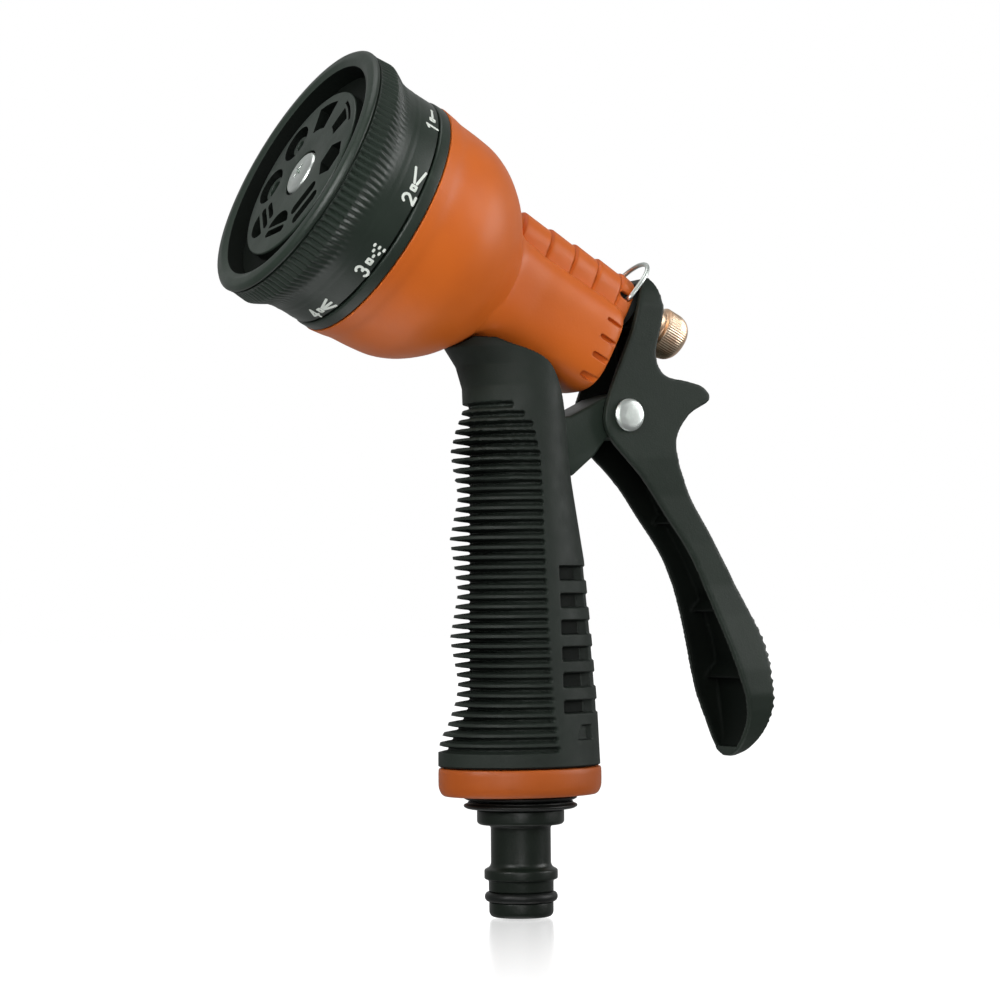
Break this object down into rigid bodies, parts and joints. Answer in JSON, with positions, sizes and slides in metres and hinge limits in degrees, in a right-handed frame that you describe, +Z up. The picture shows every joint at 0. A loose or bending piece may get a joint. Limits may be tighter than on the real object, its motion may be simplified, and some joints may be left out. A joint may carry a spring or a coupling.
{
  "type": "hose spray nozzle",
  "caption": "Pistol-shaped garden hose nozzle: turning pattern dial, squeeze trigger with valve stem and adjusting nut, wire lock bail, ribbed grip and quick-connect nipple.",
  "frame": {"origin": "middle of the mouth of the hose nipple, at the very bottom of the nozzle", "axes": "+Z up the handle, away from the hose; -X the way the spray leaves (27 degrees upwards), +X towards the trigger; Y = 0 is the mirror plane"},
  "size_m": [0.1322, 0.062, 0.1971],
  "materials": {
    "green_plastic": "dark grey-green moulded plastic, satin",
    "orange_plastic": "orange moulded plastic, satin",
    "inner_plastic": "grey acetal, matt",
    "black_rubber": "black sealing rubber",
    "grip_rubber": "dark grey-green soft grip rubber, matt",
    "steel": "zinc-plated steel",
    "copper": "copper-coloured plated brass",
    "brass": "plain turned brass",
    "white_print": "white printed numerals and signs, matt"
  },
  "bodies": {
    "root": {"centre_screw": "steel", "distributor_plate": "inner_plastic", "port_seal": "black_rubber", "port_spring": "steel", "detent_ball": "steel", "detent_spring": "steel", "bell_ring": "green_plastic", "body_shell": "orange_plastic", "feed_tube": "inner_plastic", "valve_seat": "brass", "return_spring": "steel", "stem_o_ring": "black_rubber", "gland_nut": "brass", "handle_frame": "green_plastic", "spigot_o_ring": "black_rubber", "pivot_rivet": "steel", "grip_sleeve": "grip_rubber", "base_collar": "orange_plastic", "collar_washer": "black_rubber", "collar_seal": "black_rubber", "hose_nipple": "green_plastic", "nipple_o_ring": "black_rubber", "nipple_seal": "black_rubber"},
    "dial": {"dial_ring": "green_plastic", "spray_face": "green_plastic", "jet_insert": "green_plastic", "cone_insert": "green_plastic", "diffuser_plate": "inner_plastic"},
    "trigger": {"trigger_lever": "green_plastic"},
    "stem": {"valve_stem": "brass", "valve_washer": "black_rubber"},
    "nut": {"adjusting_nut": "copper"},
    "bail": {"lock_bail": "steel"}
  },
  "joints": [
    {"name": "dial_turn", "type": "hinge", "parent": "root", "child": "dial", "pos_m": [-0.0563, 0, 0.1702], "axis": [0.8888, 0, -0.4583], "continuous": true},
    {"name": "trigger_squeeze", "type": "hinge", "parent": "root", "child": "trigger", "pos_m": [0.0251, 0, 0.1159], "axis": [0, 1, 0], "range_deg": [0, 15]},
    {"name": "stem_slide", "type": "slide", "parent": "root", "child": "stem", "axis": [0.8888, 0, -0.4583], "range_m": [0, 0.0064], "stiffness_N_per_m": 800, "springref_m": -0.006, "deforming": ["return_spring"]},
    {"name": "nut_turn", "type": "hinge", "parent": "stem", "child": "nut", "pos_m": [0.0397, 0, 0.136], "axis": [0.8888, 0, -0.4583], "range_deg": [-180, 180]},
    {"name": "bail_swing", "type": "hinge", "parent": "root", "child": "bail", "pos_m": [0.02669, 0, 0.14349], "axis": [0, 1, 0], "range_deg": [-60, 0]}
  ],
  "couplings": [
    {"joint": "trigger_squeeze", "follows": "stem_slide", "rad_per_m": 40.65}
  ]
}
